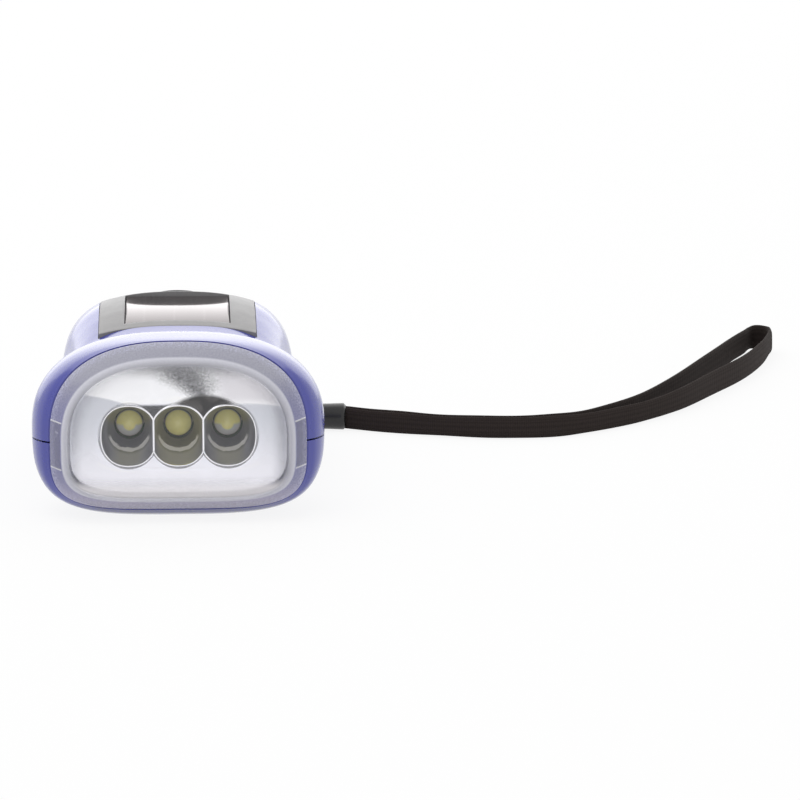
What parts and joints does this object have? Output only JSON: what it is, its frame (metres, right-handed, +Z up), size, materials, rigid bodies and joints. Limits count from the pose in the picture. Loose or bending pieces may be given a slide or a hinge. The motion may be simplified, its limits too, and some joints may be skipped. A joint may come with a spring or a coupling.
{
  "type": "hand crank flashlight",
  "caption": "Pocket torch with a reflector head, a solar panel on top, a generator crank with a folding knob under the body, and a wrist strap.",
  "frame": {"origin": "bottom centre of the torch without its strap, on the surface that it stands on", "axes": "+X to the right seen from the lens, +Y from the lens to the tail, +Z up"},
  "size_m": [0.155, 0.1765, 0.0326],
  "materials": {
    "blue_shell": "glossy deep blue moulded plastic",
    "clear_lens": "clear moulded plastic",
    "chrome_mirror": "vacuum metallised plastic",
    "led_resin": "clear resin over yellow phosphor",
    "circuit_board": "green solder mask",
    "bezel_plastic": "satin black plastic",
    "solar_glass": "dark cell under clear resin",
    "steel": "bright steel",
    "brass": "turned brass",
    "gear_plastic": "natural acetal",
    "black_plastic": "fine matt black",
    "magnet": "dark sintered ferrite",
    "copper_wire": "enamelled copper winding",
    "red_plastic": "red plastic",
    "strap_fabric": "black woven nylon",
    "strap_rubber": "glossy black sleeve"
  },
  "bodies": {
    "housing": {"lower_housing": "blue_shell", "upper_housing": "blue_shell", "lens_cap": "clear_lens", "reflector": "chrome_mirror", "led_1": "led_resin", "led_2": "led_resin", "led_3": "led_resin", "led_board": "circuit_board", "main_board": "circuit_board", "solar_bezel": "bezel_plastic", "solar_cell": "solar_glass", "idler_pin_1": "steel", "idler_pin_2": "steel", "generator_core": "steel", "strap_pin": "steel", "button_cell_1": "steel", "button_cell_2": "steel", "button_cell_3": "steel", "housing_screw_1": "steel", "housing_screw_2": "steel", "housing_screw_3": "steel", "housing_screw_4": "steel", "gear_plate_screw_1": "steel", "gear_plate_screw_2": "steel", "gear_plate_screw_3": "steel", "gear_plate_screw_4": "steel", "crank_bush": "brass", "gear_plate": "black_plastic", "generator_bobbin": "black_plastic", "switch_body": "black_plastic", "board_capacitor": "black_plastic", "wire_cell_black": "black_plastic", "wire_led_black": "black_plastic", "generator_coil": "copper_wire", "wire_cell_red": "red_plastic", "wire_led_red": "red_plastic", "strap_string": "strap_fabric", "strap_tape": "strap_fabric", "strap_sleeve": "strap_rubber"},
    "crank": {"crank_lever": "blue_shell", "crank_shaft": "steel", "crank_gear": "gear_plastic", "crank_screw": "steel", "knob_pin": "steel"},
    "knob_arm": {"knob_arm": "blue_shell", "knob_screw": "steel"},
    "knob": {"knob_sleeve": "black_plastic"},
    "idler_1": {"idler_gear_1": "gear_plastic"},
    "idler_2": {"idler_gear_2": "gear_plastic"},
    "rotor": {"rotor_pinion": "brass", "rotor_shaft": "steel", "rotor_magnet": "magnet"},
    "button": {"push_button": "bezel_plastic", "switch_plunger": "red_plastic"}
  },
  "joints": [
    {"name": "crank_spin", "type": "hinge", "parent": "housing", "child": "crank", "pos_m": [0, 0.005, 0], "axis": [0, 0, 1], "continuous": true},
    {"name": "knob_fold", "type": "hinge", "parent": "crank", "child": "knob_arm", "pos_m": [0, 0.0372, 0.0036], "axis": [1, 0, 0], "range_deg": [0, 90]},
    {"name": "knob_spin", "type": "hinge", "parent": "knob_arm", "child": "knob", "pos_m": [0, 0.025, 0.0036], "axis": [0, 1, 0], "continuous": true},
    {"name": "idler_1_spin", "type": "hinge", "parent": "housing", "child": "idler_1", "pos_m": [0, 0.0266, 0], "axis": [0, 0, 1], "continuous": true},
    {"name": "idler_2_spin", "type": "hinge", "parent": "housing", "child": "idler_2", "pos_m": [-0.01, 0.01624, 0], "axis": [0, 0, 1], "continuous": true},
    {"name": "rotor_spin", "type": "hinge", "parent": "housing", "child": "rotor", "pos_m": [0.00048, 0.01363, 0], "axis": [0, 0, 1], "continuous": true},
    {"name": "button_press", "type": "slide", "parent": "housing", "child": "button", "axis": [0, 0, 1], "range_m": [-0.0009, 0], "stiffness_N_per_m": 300, "springref_m": 0.001}
  ],
  "couplings": [
    {"joint": "idler_1_spin", "follows": "crank_spin", "ratio": -3.5},
    {"joint": "idler_2_spin", "follows": "crank_spin", "ratio": 10.5},
    {"joint": "rotor_spin", "follows": "crank_spin", "ratio": -27.3}
  ]
}
